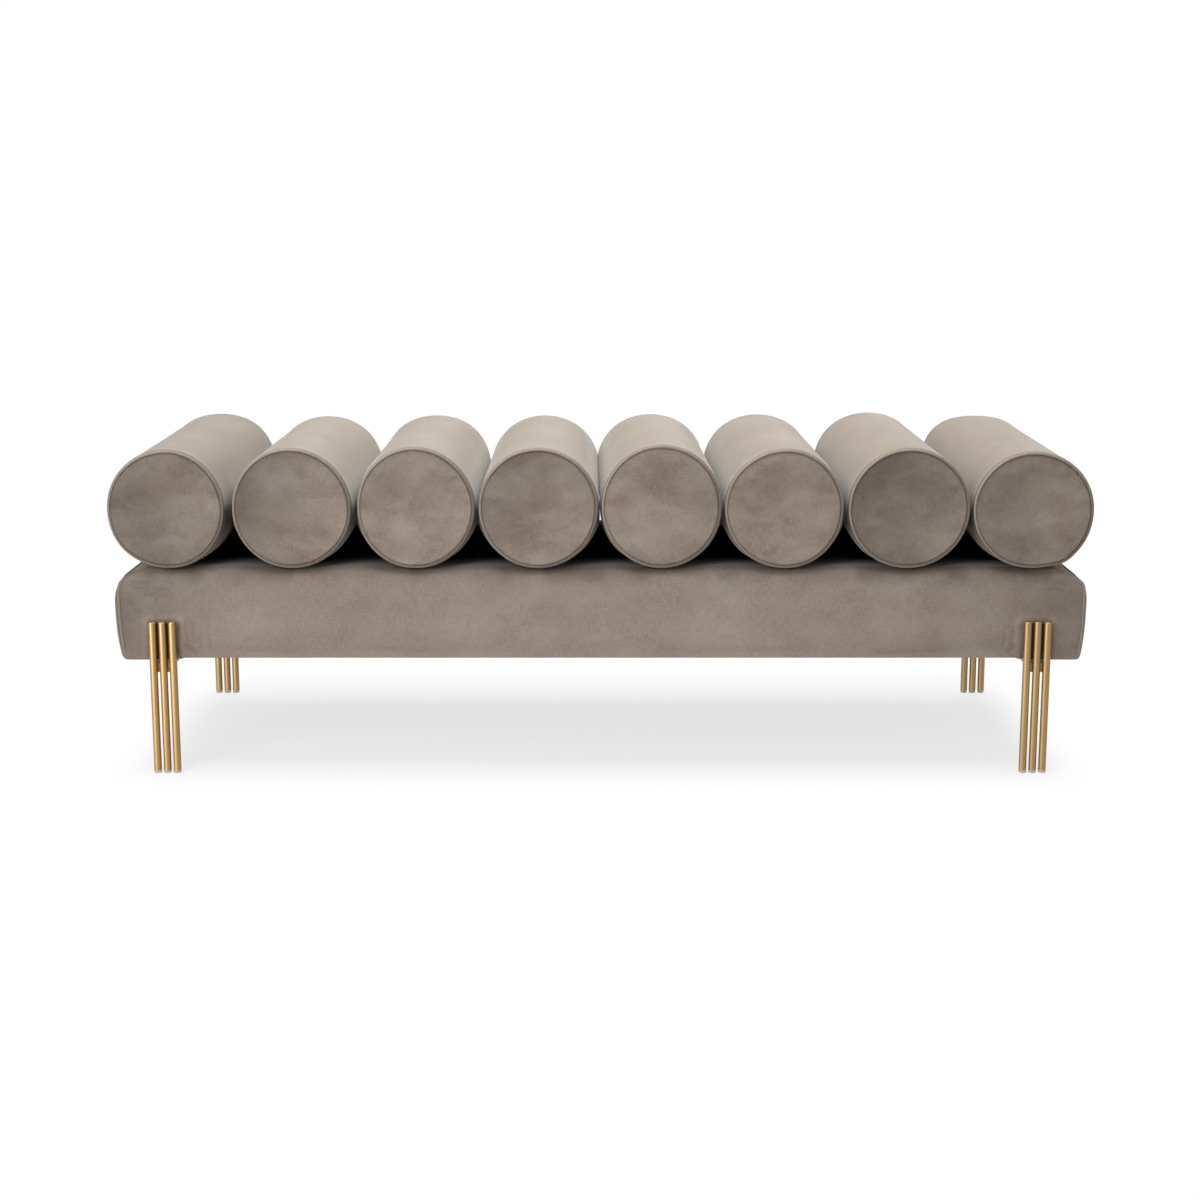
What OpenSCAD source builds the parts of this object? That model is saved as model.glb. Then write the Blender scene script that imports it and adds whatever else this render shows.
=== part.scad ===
// Backless divan: a row of round bolsters bolted side by side on an upholstered base,
// which stands on four legs of three thin tubes each. Millimetres, +Z up. The long side
// lies along X, the front faces -Y, and the origin is on the floor under the middle.

/* [Bolsters] */
// Number of bolsters in the row
bolster_count = 8; // [4:1:8]
// Diameter of one bolster
bolster_d = 191; // [160:1:220]
// Length of a bolster, without the crown of its ends
bolster_len = 504; // [480:1:520]
// Space left between two neighbouring bolsters
bolster_gap = 0.4; // [0.3:0.1:4]
// Radius of the soft edge between the barrel and the end
edge_r = 10; // [7:0.5:14]
// How far the middle of an end stands proud of its edge
disc_crown = 4; // [2:0.5:8]
// Where the end seam lies on the soft edge, in degrees from the barrel
seam_turn = 50; // [42:1:55]
// How deep the weight presses a bolster flat where it rests
rest_flat = 1; // [0.5:0.1:1.4]

/* [Base] */
// Height of the underside above the floor
base_z = 180.5; // [150:0.5:220]
// Height of the base
base_h = 143.5; // [125:0.5:160]
// Depth of the base from front to back, at its corners
base_d = 508; // [480:1:540]
// How far the base's end seams lie inside the ends of the bolster row
end_setback = 16; // [14:1:30]
// Radius of the upper long edges
top_corner_r = 18; // [10:0.5:24]
// Radius of the lower long edges
bottom_corner_r = 9; // [6:0.5:12]
// How far the front and the back swell out at mid height
side_bulge = 2.2; // [1:0.1:3]
// How far the end panels swell out past their seams
end_bulge = 11.5; // [8:0.5:16]
// Width of the curved margin of an end panel
end_margin = 45; // [30:1:60]
// How squarely an end panel turns into its margin, where 2 is an ellipse
end_turn = 3; // [2:0.5:4]

/* [Covers and padding] */
// Thickness of the velvet with its backing
cover_t = 1.8; // [1.5:0.1:2.2]
// Diameter of the piping
piping_d = 3.5; // [3:0.1:4]
// Air between a soft part and its neighbour
cloth_gap = 0.3; // [0.3:0.05:0.5]
// Thickness of the foam on top of the deck
seat_foam_t = 28; // [20:1:35]
// Depth of the padding in front of and behind the frame
side_pad = 18; // [12:1:24]
// Depth of the padding at the ends of the frame, up to the seam
end_pad = 23; // [12:1:26]
// How far the covers lap under the rails
under_lap = 16; // [12:1:19]
// Thickness of the black dust cloth
dust_t = 1; // [0.6:0.1:1.4]

/* [Frame] */
// Thickness of the rails
rail_t = 20; // [20:1:24]
// Thickness of the plywood deck
deck_t = 12; // [9:1:15]
// Width of a leg block along the bench
block_w = 50; // [46:1:56]
// Depth of a leg block behind its rail
block_d = 56; // [52:1:60]
// Width of the board inside a bolster
board_w = 60; // [40:1:80]
// Length of the board inside a bolster
board_len = 420; // [340:1:440]
// Thickness of the board inside a bolster
board_t = 12; // [10:1:15]
// Foam left under the board inside a bolster
board_lift = 14; // [10:1:20]
// Distance between the two bolts of a bolster
bolt_span = 260; // [200:1:280]

/* [Legs] */
// Outside diameter of a leg tube
tube_d = 12; // [10:0.5:14]
// Distance between the centres of neighbouring tubes
tube_pitch = 15.4; // [15.2:0.1:18]
// Wall of a leg tube
tube_wall = 1.5; // [1.2:0.1:2]
// Height of the tube tops above the underside of the base
tube_rise = 61.9; // [50:0.1:75]
// Thickness of the closed top of a tube
tube_cap_t = 2; // [1.5:0.1:3]
// Chamfer round the top of a tube
tube_chamfer = 0.8; // [0.4:0.1:1.2]
// Height of the cross bar under the base
bar_h = 15; // [10:0.5:20]
// Thickness of the cross bar
bar_t = 5; // [4:0.5:6]
// Width of the leg bracket
bracket_w = 40; // [34:1:42]
// Thickness of the bracket's plate under the base
plate_t = 4; // [3:0.5:5]
// Thickness of the bracket's upright behind the tubes
upright_t = 2.5; // [2:0.1:3]
// Height of the upright above the underside of the base
upright_h = 57; // [40:1:58]
// Height of a glide's head
glide_h = 4.5; // [3:0.5:6]
// Length of a glide's stem inside the tube
glide_stem = 12; // [8:1:16]

/* [Bolts] */
// Shank diameter of every bolt
bolt_d = 8; // [6:0.5:8]
// Width of a bolt head across its corners
head_d = 15; // [13:0.5:16]
// Height of a bolt head
head_h = 5.3; // [4:0.1:6]
// Diameter of the flange under a head
flange_d = 22; // [18:0.5:24]
// Thickness of the flange under a head
flange_t = 1.6; // [1.2:0.1:2]
// Depth of a leg bolt in its block
leg_bolt_bite = 34; // [25:1:40]
// Distance between the two bolts of a leg
leg_bolt_span = 28; // [25:1:30]
// Diameter of a tee nut's flange
tee_flange_d = 20; // [18:0.5:22]
// Thickness of a tee nut's flange
tee_flange_t = 1.5; // [1.2:0.1:2]
// Outside diameter of a tee nut's barrel
tee_barrel_d = 10; // [9.6:0.1:11]
// Length of a tee nut's barrel
tee_barrel_h = 9; // [7:0.5:9.5]

/* [Hidden] */
// Colours of the finishes
velvet = [0.55, 0.50, 0.45];
foam = [0.93, 0.90, 0.80];
pine = [0.80, 0.65, 0.45];
plywood = [0.76, 0.60, 0.40];
satin_brass = [0.72, 0.56, 0.33];
black_steel = [0.10, 0.11, 0.11];
zinc = [0.70, 0.72, 0.74];
clear_grey = [0.75, 0.75, 0.73];
dust_black = [0.08, 0.08, 0.08];
// Overrun of a cut past the face that it opens
over = 1;
// Air round a bolt in a hole, and round a stem in its tube
hole_clear = 0.5;
stem_clear = 0.2;
thread_clear = 0.1;
// How far a bolt stands out of its tee nut
bolt_tip = 2;
// Chamfer under a glide, and how much thinner than the tube its head is
glide_chamfer = 0.6;
glide_inset = 0.2;
// How far the cross bar's face lies behind the tube centres, and short of the outer tubes' sides
bar_recess = 3;
bar_end_inset = 3;
// Smallest corner of an end panel's inner rings
least_corner_r = 1;
// Steps along each curved stretch, and round the piping
corner_steps = 5;
side_steps = 3;
edge_steps = 9;
crown_steps = 8;
piping_sides = 8;
$fn = 96;
// Places of an end panel's rings across its curved margin
ring_shares = [0, 0.01, 0.04, 0.12, 0.25, 0.45, 0.7, 1];

// The padding starts this far inside the outside of a cover
pad_inset = cover_t + cloth_gap;
piping_r = piping_d / 2;
// Half the slit between two covers that the piping lies in
slit = piping_r + cloth_gap;
bolster_r = bolster_d / 2;
bolster_pitch = bolster_d + bolster_gap;
row_len = bolster_count * bolster_pitch - bolster_gap;
base_top = base_z + base_h;
axis_z = base_top + bolster_r - rest_flat;
seam_x = row_len / 2 - end_setback;
// The end seam of a bolster, as radius and place along its axis
seam_at = [
    bolster_r - edge_r + edge_r * cos(seam_turn),
    bolster_len / 2 - edge_r + edge_r * sin(seam_turn)
];

frame_x = seam_x - end_pad;
frame_y = base_d / 2 - side_pad;
rail_z = base_z + cover_t;
deck_z = base_top - pad_inset - seat_foam_t - deck_t;
foam_z = deck_z + deck_t;
rail_h = deck_z - rail_z;
lap_x = frame_x - under_lap;
lap_y = frame_y - under_lap;
board_z = base_top + board_lift;
tee_z = board_z + board_t;
pocket_h = board_t + tee_flange_t + bolt_tip;

tube_r = tube_d / 2;
bore_r = tube_r - tube_wall;
leg_x = frame_x - rail_t - block_w / 2;
upright_y = base_d / 2 + side_bulge + cloth_gap;
leg_y = upright_y + upright_t + tube_r;
tube_top = base_z + tube_rise;
plate_z = base_z - plate_t;
block_y = frame_y - rail_t - block_d;
block_mid_y = block_y + block_d / 2;

function bolster_x(k) = (k - (bolster_count + 1) / 2) * bolster_pitch;

// Points on a round stretch about c, from angle a to angle b
function arc(c, r, a, b, steps) =
    [for (i = [0:steps]) c + r * [cos(a + (b - a) * i / steps), sin(a + (b - a) * i / steps)]];

// Half section of a bolster, drawn in by inset: radius, then place along the axis
function bolster_section(inset) =
    let (
        flat_r = bolster_r - edge_r,
        h = bolster_len / 2 - inset,
        crown = [for (i = [0:crown_steps - 1])
            [flat_r * i / crown_steps, h + disc_crown * (1 - pow(i / crown_steps, 2))]],
        edge = arc([flat_r, bolster_len / 2 - edge_r], edge_r - inset, 90, 0, edge_steps),
        upper = concat(crown, edge),
        last = len(upper) - 1
    )
    concat(upper, [for (i = [0:last]) [upper[last - i][0], -upper[last - i][1]]]);

// Outline of the base as depth and height, drawn in by inset, with its swollen sides
function base_outline(inset) =
    let (
        d = base_d / 2 - inset,
        low = base_z + inset,
        high = base_top - inset,
        rt = max(top_corner_r - inset, least_corner_r),
        rb = max(bottom_corner_r - inset, least_corner_r),
        step = (high - rt - low - rb) / (side_steps + 1),
        outline = concat(
            arc([d - rb, low + rb], rb, -90, 0, corner_steps),
            [for (i = [1:side_steps]) [d, low + rb + step * i]],
            arc([d - rt, high - rt], rt, 0, 90, corner_steps),
            arc([rt - d, high - rt], rt, 90, 180, corner_steps),
            [for (i = [1:side_steps]) [-d, high - rt - step * i]],
            arc([rb - d, low + rb], rb, 180, 270, corner_steps)
        ),
        mid = (low + high) / 2,
        half = (high - low) / 2
    )
    [for (p = outline) [p[0] + sign(p[0]) * side_bulge * (1 - pow((p[1] - mid) / half, 2)), p[1]]];

// How far an end panel has risen at share s of its margin, from 0 to 1
function turned_rise(s) = pow(1 - pow(1 - s, end_turn), 1 / end_turn);

// Rings of an end panel's crown: how far each is drawn in, and its place along X
function crown_rings(inset, least_x) =
    [for (s = ring_shares)
        [s * end_margin + inset,
         max(least_x, seam_x + slit + (end_bulge - slit) * turned_rise(s) - inset)]];
function ring_points(rings) =
    [for (q = rings) for (p = base_outline(q[0])) [q[1], p[0], p[1]]];
function crown_point(rings) =
    [rings[len(rings) - 1][1], 0, base_z + base_h / 2];

// Triangles between the rings of n points each, from ring number first to ring number last
function bands(n, first, last) =
    [for (k = [first:last - 1]) for (i = [0:n - 1])
        let (a = k * n + i, b = k * n + (i + 1) % n)
        each [[a, a + n, b + n], [a, b + n, b]]];
// Triangles from ring number k to the point c
function fan(n, k, c) = [for (i = [0:n - 1]) [k * n + i, c, k * n + (i + 1) % n]];
function turned(faces) = [for (f = faces) [f[0], f[2], f[1]]];

module along_x(from, to) {
    translate([from, 0, 0]) rotate([90, 0, 90]) linear_extrude(to - from) children();
}

module both_ends() {
    children();
    mirror([1, 0, 0]) children();
}

module both_sides() {
    children();
    mirror([0, 1, 0]) children();
}

module at_bolster(k) {
    translate([bolster_x(k), 0, axis_z]) rotate([-90, 0, 0]) children();
}

// Places of the two bolts that hold one bolster
module at_bolster_bolts(k) {
    for (side = [-1, 1]) translate([bolster_x(k), side * bolt_span / 2, 0]) children();
}

module at_all_bolster_bolts() {
    for (k = [1:bolster_count]) at_bolster_bolts(k) children();
}

// Places of the two bolts of the leg that stands at the +X, +Y corner
module at_corner_bolts() {
    for (side = [-1, 1])
        translate([leg_x, block_mid_y + side * leg_bolt_span / 2, 0]) children();
}

module at_leg_bolts() {
    both_ends() both_sides() at_corner_bolts() children();
}

module rod(r, from, to) {
    translate([0, 0, from]) cylinder(h = to - from, r = r);
}

module bolt(from, to) {
    rod(bolt_d / 2, from, to);
    rod(flange_d / 2, from, from + flange_t);
    translate([0, 0, from - head_h]) cylinder(h = head_h + flange_t / 2, d = head_d, $fn = 6);
}

// Bolsters: a piped cylinder cover over a foam core with a fixing board inside

// All that lies on the end side of each end seam
module end_side() {
    from = [bolster_r - edge_r, bolster_len / 2 - edge_r];
    reach = 2 * edge_r + disc_crown;
    for (side = [0, 1]) mirror([0, side]) polygon([
        [0, from[1]],
        from,
        from + reach * [cos(seam_turn), sin(seam_turn)],
        [0, from[1] + reach]
    ]);
}

module at_seams() {
    for (side = [-1, 1]) translate([seam_at[0], side * seam_at[1]]) children();
}

module cover_section() {
    difference() {
        polygon(bolster_section(0));
        polygon(bolster_section(cover_t));
        at_seams() circle(slit);
    }
}

module bolster_barrel(k) {
    color(velvet) difference() {
        at_bolster(k) rotate_extrude() difference() {
            cover_section();
            end_side();
        }
        translate([bolster_x(k) - bolster_r, -bolster_len / 2, base_top - bolster_r])
            cube([bolster_d, bolster_len, bolster_r]);
        at_bolster_bolts(k) rod(bolt_d / 2 + hole_clear, base_top - over, board_z);
    }
}

module bolster_end_discs(k) {
    color(velvet) at_bolster(k) rotate_extrude() intersection() {
        cover_section();
        end_side();
    }
}

module bolster_piping(k) {
    color(velvet) at_bolster(k) rotate_extrude() at_seams() circle(piping_r);
}

module bolster_core(k) {
    color(foam) difference() {
        at_bolster(k) rotate_extrude() polygon(bolster_section(pad_inset));
        translate([
            bolster_x(k) - board_w / 2 - cloth_gap,
            -board_len / 2 - cloth_gap,
            board_z - cloth_gap
        ])
            cube([board_w + 2 * cloth_gap, board_len + 2 * cloth_gap, pocket_h + 2 * cloth_gap]);
        at_bolster_bolts(k) rod(bolt_d / 2 + hole_clear, base_top, board_z);
    }
}

module bolster_boards() {
    color(plywood) difference() {
        for (k = [1:bolster_count])
            translate([bolster_x(k) - board_w / 2, -board_len / 2, board_z])
                cube([board_w, board_len, board_t]);
        at_all_bolster_bolts() rod(tee_barrel_d / 2 + stem_clear, board_z - over, tee_z + over);
    }
}

module bolster_tee_nuts() {
    color(zinc) at_all_bolster_bolts() difference() {
        union() {
            rod(tee_flange_d / 2, tee_z, tee_z + tee_flange_t);
            rod(tee_barrel_d / 2, tee_z - tee_barrel_h, tee_z + tee_flange_t);
        }
        rod(bolt_d / 2 + thread_clear, tee_z - tee_barrel_h - over, tee_z + tee_flange_t + over);
    }
}

module bolster_bolts() {
    color(zinc) at_all_bolster_bolts()
        bolt(deck_z - flange_t, tee_z + tee_flange_t + bolt_tip);
}

// Base covers: one length over front, top and back, and a crowned panel sewn in at each end

module base_wrap_cover() {
    color(velvet) difference() {
        along_x(slit - seam_x, seam_x - slit) difference() {
            polygon(base_outline(0));
            polygon(base_outline(cover_t));
            translate([-lap_y, base_z - over]) square([2 * lap_y, cover_t + 2 * over]);
        }
        at_all_bolster_bolts()
            rod(bolt_d / 2 + hole_clear, base_top - cover_t - over, base_top + over);
    }
}

module end_panel() {
    outer = crown_rings(0, seam_x);
    inner = crown_rings(cover_t, seam_x + slit);
    m = len(outer);
    n = len(base_outline(0));
    shell = concat(ring_points(outer), ring_points(inner));
    rim = [for (i = [0:n - 1])
        let (a = i, b = (i + 1) % n)
        each [[a, b, m * n + b], [a, m * n + b, m * n + a]]];
    polyhedron(
        points = concat(shell, [crown_point(outer), crown_point(inner)]),
        faces = concat(
            bands(n, 0, m - 1), fan(n, m - 1, 2 * m * n),
            turned(bands(n, m, 2 * m - 1)), turned(fan(n, 2 * m - 1, 2 * m * n + 1)),
            rim
        )
    );
    translate([lap_x, cloth_gap - lap_y, base_z])
        cube([seam_x + slit + over - lap_x, 2 * (lap_y - cloth_gap), cover_t]);
}

module base_end_panel_right() {
    color(velvet) end_panel();
}

module base_end_panel_left() {
    color(velvet) mirror([1, 0, 0]) end_panel();
}

// The piping follows the end seam and tucks a short way under the base at both corners
module seam_piping() {
    tuck = lap_y + cloth_gap;
    path = concat([[tuck, base_z]], base_outline(0), [[-tuck, base_z]]);
    last = len(path) - 1;
    function across(i) =
        let (t = path[min(i + 1, last)] - path[max(i - 1, 0)])
        [t[1], -t[0]] / norm(t);
    ring = [for (i = [0:last]) for (j = [0:piping_sides - 1])
        let (a = 360 * j / piping_sides, p = path[i] + across(i) * piping_r * sin(a))
        [seam_x + piping_r * cos(a), p[0], p[1]]];
    polyhedron(
        points = concat(ring, [
            [seam_x, path[0][0], path[0][1]],
            [seam_x, path[last][0], path[last][1]]
        ]),
        faces = concat(
            bands(piping_sides, 0, last),
            turned(fan(piping_sides, 0, len(ring))),
            fan(piping_sides, last, len(ring) + 1)
        )
    );
}

module base_piping() {
    color(velvet) both_ends() seam_piping();
}

module dust_cover() {
    x = lap_x - cloth_gap;
    y = lap_y - cloth_gap;
    color(dust_black) difference() {
        translate([-x, -y, rail_z - dust_t]) cube([2 * x, 2 * y, dust_t]);
        at_leg_bolts() rod(bolt_d / 2 + hole_clear, rail_z - dust_t - over, rail_z + over);
    }
}

// Padding: one slab over the deck, strips in front and behind, and a crowned pad at each end

module padding_between(from, to) {
    intersection() {
        along_x(-frame_x, frame_x) polygon(base_outline(pad_inset));
        translate([-frame_x, from[0], from[1]])
            cube([2 * frame_x, to[0] - from[0], to[1] - from[1]]);
    }
}

module seat_foam() {
    color(foam) difference() {
        padding_between([-base_d, foam_z], [base_d, base_top]);
        at_all_bolster_bolts() rod(bolt_d / 2 + hole_clear, foam_z - over, base_top + over);
    }
}

module front_foam() {
    color(foam) padding_between([-base_d, base_z], [-frame_y, foam_z]);
}

module back_foam() {
    color(foam) padding_between([frame_y, base_z], [base_d, foam_z]);
}

module end_foam() {
    crown = crown_rings(pad_inset, seam_x + slit - pad_inset);
    rings = concat([[pad_inset, frame_x]], crown);
    m = len(rings);
    n = len(base_outline(0));
    polyhedron(
        points = concat(ring_points(rings),
            [crown_point(rings), [frame_x, 0, base_z + base_h / 2]]),
        faces = concat(
            bands(n, 0, m - 1),
            fan(n, m - 1, m * n),
            turned(fan(n, 0, m * n + 1))
        )
    );
}

module end_foams() {
    color(foam) both_ends() end_foam();
}

// Timber frame

module deck_panel() {
    color(plywood) difference() {
        translate([-frame_x, -frame_y, deck_z]) cube([2 * frame_x, 2 * frame_y, deck_t]);
        at_all_bolster_bolts() rod(bolt_d / 2 + hole_clear, deck_z - over, foam_z + over);
    }
}

module long_rail() {
    translate([-frame_x, frame_y - rail_t, rail_z]) cube([2 * frame_x, rail_t, rail_h]);
}

module back_rail() {
    color(pine) long_rail();
}

module front_rail() {
    color(pine) mirror([0, 1, 0]) long_rail();
}

module short_rail(x) {
    y = frame_y - rail_t;
    translate([x, -y, rail_z]) cube([rail_t, 2 * y, rail_h]);
}

module end_rails() {
    color(pine) both_ends() short_rail(frame_x - rail_t);
}

// One cross rail under every second gap between bolsters, clear of their bolts
module cross_rails() {
    color(pine) for (g = [2:2:bolster_count - 2])
        short_rail((g - bolster_count / 2) * bolster_pitch - rail_t / 2);
}

module leg_blocks() {
    color(pine) difference() {
        both_ends() both_sides()
            translate([leg_x - block_w / 2, block_y, rail_z]) cube([block_w, block_d, rail_h]);
        at_leg_bolts() rod(bolt_d / 2 + thread_clear, rail_z - over, rail_z + leg_bolt_bite + over);
    }
}

// Legs: three closed tubes welded to a cross bar, on a bracket bolted under the corner

module tube_places() {
    for (i = [-1:1]) translate([leg_x + i * tube_pitch, leg_y, 0]) children();
}

module tube() {
    rotate_extrude() polygon([
        [0, glide_h],
        [tube_r, glide_h],
        [tube_r, tube_top - tube_chamfer],
        [tube_r - tube_chamfer, tube_top],
        [0, tube_top]
    ]);
}

// The leg at the +X, +Y corner
module leg() {
    bar_w = 2 * (tube_pitch + tube_r - bar_end_inset);
    difference() {
        union() {
            tube_places() tube();
            translate([leg_x - bar_w / 2, leg_y - bar_recess - bar_t, plate_z - bar_h])
                cube([bar_w, bar_t, bar_h]);
        }
        tube_places() rod(bore_r, glide_h - over, tube_top - tube_cap_t);
    }
}

// The bracket at the +X, +Y corner: a plate under the base and an upright behind the tubes
module bracket() {
    difference() {
        translate([leg_x - bracket_w / 2, 0, 0]) {
            translate([0, block_y, plate_z])
                cube([bracket_w, upright_y + upright_t - block_y, plate_t]);
            translate([0, upright_y, plate_z])
                cube([bracket_w, upright_t, plate_t + upright_h]);
        }
        at_corner_bolts() rod(bolt_d / 2 + hole_clear, plate_z - over, base_z + over);
    }
}

module back_right_leg() {
    color(satin_brass) leg();
}

module back_left_leg() {
    color(satin_brass) mirror([1, 0, 0]) leg();
}

module front_right_leg() {
    color(satin_brass) mirror([0, 1, 0]) leg();
}

module front_left_leg() {
    color(satin_brass) mirror([1, 0, 0]) mirror([0, 1, 0]) leg();
}

module back_right_bracket() {
    color(black_steel) bracket();
}

module back_left_bracket() {
    color(black_steel) mirror([1, 0, 0]) bracket();
}

module front_right_bracket() {
    color(black_steel) mirror([0, 1, 0]) bracket();
}

module front_left_bracket() {
    color(black_steel) mirror([1, 0, 0]) mirror([0, 1, 0]) bracket();
}

module leg_glides() {
    head_r = tube_r - glide_inset;
    stem_r = bore_r - stem_clear;
    color(clear_grey) both_ends() both_sides() tube_places() rotate_extrude() polygon([
        [0, 0],
        [head_r - glide_chamfer, 0],
        [head_r, glide_chamfer],
        [head_r, glide_h],
        [stem_r, glide_h],
        [stem_r, glide_h + glide_stem],
        [0, glide_h + glide_stem]
    ]);
}

module leg_bolts() {
    color(zinc) at_leg_bolts() bolt(plate_z - flange_t, rail_z + leg_bolt_bite);
}

function bolster_name(k, piece) = str("bolster_", k, "_", piece);

for (k = [1:bolster_count]) {
    bolster_barrel(k);
    bolster_end_discs(k);
    bolster_piping(k);
    bolster_core(k);
}
bolster_boards();
bolster_tee_nuts();
bolster_bolts();
base_wrap_cover();
base_end_panel_left();
base_end_panel_right();
base_piping();
dust_cover();
seat_foam();
front_foam();
back_foam();
end_foams();
deck_panel();
front_rail();
back_rail();
end_rails();
cross_rails();
leg_blocks();
front_left_leg();
front_right_leg();
back_left_leg();
back_right_leg();
front_left_bracket();
front_right_bracket();
back_left_bracket();
back_right_bracket();
leg_glides();
leg_bolts();
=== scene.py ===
import math

import bpy
import numpy as np
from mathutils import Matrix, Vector


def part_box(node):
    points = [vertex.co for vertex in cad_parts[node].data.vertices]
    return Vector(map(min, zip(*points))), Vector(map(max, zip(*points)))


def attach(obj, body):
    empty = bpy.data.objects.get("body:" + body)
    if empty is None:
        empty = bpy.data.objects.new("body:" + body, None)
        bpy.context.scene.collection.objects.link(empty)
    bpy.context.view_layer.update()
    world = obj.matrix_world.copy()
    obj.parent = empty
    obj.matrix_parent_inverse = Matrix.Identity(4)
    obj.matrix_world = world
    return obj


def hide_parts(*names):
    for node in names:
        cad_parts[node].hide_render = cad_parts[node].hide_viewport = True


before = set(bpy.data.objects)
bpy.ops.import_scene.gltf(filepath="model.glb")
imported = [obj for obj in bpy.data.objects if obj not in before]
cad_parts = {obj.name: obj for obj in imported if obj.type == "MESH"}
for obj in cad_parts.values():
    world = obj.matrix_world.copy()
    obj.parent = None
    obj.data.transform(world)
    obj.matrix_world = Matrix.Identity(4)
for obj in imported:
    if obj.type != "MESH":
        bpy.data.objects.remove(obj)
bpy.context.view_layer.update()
mm = 0.001

# The studio, which is no part of the bench: a white floor and backdrop, a broad soft light
# overhead, a second one from the left front, and the camera a little above the seat.
scene = bpy.context.scene
scene.view_settings.view_transform = "Standard"


def paint(red, green, blue):
    """A colour as a screen shows it, each part from 0 to 255, as the light it stands for."""
    parts = [part / 255 for part in (red, green, blue)]
    light = [part / 12.92 if part < 0.04045 else ((part + 0.055) / 1.055) ** 2.4 for part in parts]
    return (*light, 1)


class Socket:
    """A socket of a node. A sum on it is written in Python and adds a Math node."""

    def __init__(self, tree, socket):
        self.tree = tree
        self.socket = socket

    def sum(self, kind, first, second):
        return self.tree.node("ShaderNodeMath", {"operation": kind}, {"Value": first, "Value_001": second})

    def __add__(self, other):
        return self.sum("ADD", self, other)

    def __sub__(self, other):
        return self.sum("SUBTRACT", self, other)

    def __rsub__(self, other):
        return self.sum("SUBTRACT", other, self)

    def __mul__(self, other):
        return self.sum("MULTIPLY", self, other)

    __radd__ = __add__
    __rmul__ = __mul__


class Tree:
    """The nodes of one finish, or of one jig that repeats a piece."""

    def __init__(self, tree, finish=None):
        self.tree = tree
        self.finish = finish
        tree.nodes.clear()

    def node(self, kind, settings=None, sockets=None, out=None):
        """Adds a node: its type, its settings, then its sockets' values or links."""
        made = self.tree.nodes.new(kind)
        for name, value in (settings or {}).items():
            setattr(made, name, value)
        entries = {entry.identifier: entry for entry in made.inputs}
        for name, value in (sockets or {}).items():
            if isinstance(value, Socket):
                self.tree.links.new(value.socket, entries[name])
            else:
                entries[name].default_value = value
        exits = {way.identifier: way for way in made.outputs}
        return Socket(self, exits[out] if out else next(iter(exits.values()))) if exits else None

    def blend(self, share, first, second):
        """The first colour where share is 0 and the second where it is 1."""
        return self.node("ShaderNodeMix", {"data_type": "RGBA"},
                         {"Factor_Float": share, "A_Color": first, "B_Color": second}, "Result_Color")

    def noise(self, where, scale, detail=2, roughness=0.5, distortion=0, turn=0):
        """Uneven marks. Three scales draw them out: a low one makes them long along its axis."""
        if np.ndim(scale):
            drawn_out = {"Vector": where, "Scale": scale, "Rotation": (0, 0, turn)}
            where = self.node("ShaderNodeMapping", {}, drawn_out)
            scale = 1
        return self.node("ShaderNodeTexNoise", {},
                         {"Vector": where, "Scale": scale, "Detail": detail,
                          "Roughness": roughness, "Distortion": distortion}, "Fac")

    def band(self, value, low, high):
        """0 where value is under low, 1 over high, and a smooth rise between them."""
        return self.node("ShaderNodeMapRange", {"interpolation_type": "SMOOTHSTEP"},
                         {"Value": value, "From Min": low, "From Max": high})

    def part(self, vector, axis):
        """One coordinate of a place."""
        return self.node("ShaderNodeSeparateXYZ", {}, {"Vector": vector}, axis)

    def place(self):
        """Where a point lies on the bench."""
        return self.node("ShaderNodeTexCoord", out="Object")

    def relief(self, height, depth, strength):
        """A fine unevenness, which is depth high where height is 1."""
        return self.node("ShaderNodeBump", {}, {"Strength": strength, "Distance": depth, "Height": height})

    def in_view(self):
        """1 where the camera sees it, straight, mirrored or through something clear."""
        return (self.node("ShaderNodeLightPath", out="Is Camera Ray")
                + self.node("ShaderNodeLightPath", out="Is Glossy Ray")
                + self.node("ShaderNodeLightPath", out="Is Transmission Ray"))

    def kept(self, name):
        """A number that a piece keeps for each point."""
        return self.node("ShaderNodeAttribute", {"attribute_name": name}, {}, "Fac")

    def surface(self, shaded=None, **looks):
        """Ends a finish with the looks of its surface, each named as its socket is, and gives the
        finish. Where shaded is given, it says how far the surface turns to painted shade: a plain
        dark cloth."""
        sockets = {name.replace("_", " "): value for name, value in looks.items()}
        shader = self.node("ShaderNodeBsdfPrincipled", {}, sockets)
        if shaded:
            # Painted shade: a plain dark cloth that stands in for the shade where little light reaches.
            dark = self.node("ShaderNodeBsdfDiffuse", {}, {"Color": paint(16, 12, 9)})
            both = {"Fac": shaded, "Shader": shader, "Shader_001": dark}
            shader = self.node("ShaderNodeMixShader", {}, both)
        self.node("ShaderNodeOutputMaterial", {}, {"Surface": shader})
        return self.finish


def new_finish(name):
    """The tree of nodes of a new finish."""
    finish = bpy.data.materials.new(name)
    finish.use_nodes = True
    return Tree(finish.node_tree, finish)


def new_piece(name, points, faces, edges=()):
    """A mesh object whose place is in its points."""
    mesh = bpy.data.meshes.new(name)
    mesh.from_pydata([tuple(map(float, point)) for point in points], list(edges), faces)
    mesh.update()
    made = bpy.data.objects.new(name, mesh)
    scene.collection.objects.link(made)
    return made


eye = bpy.data.cameras.new("camera")
eye.lens = 61.34
camera = bpy.data.objects.new("camera", eye)
camera.location = (0, -3.377, 0.892)
camera.rotation_euler = (math.radians(78.82), 0, 0)
scene.collection.objects.link(camera)
scene.camera = camera

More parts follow.
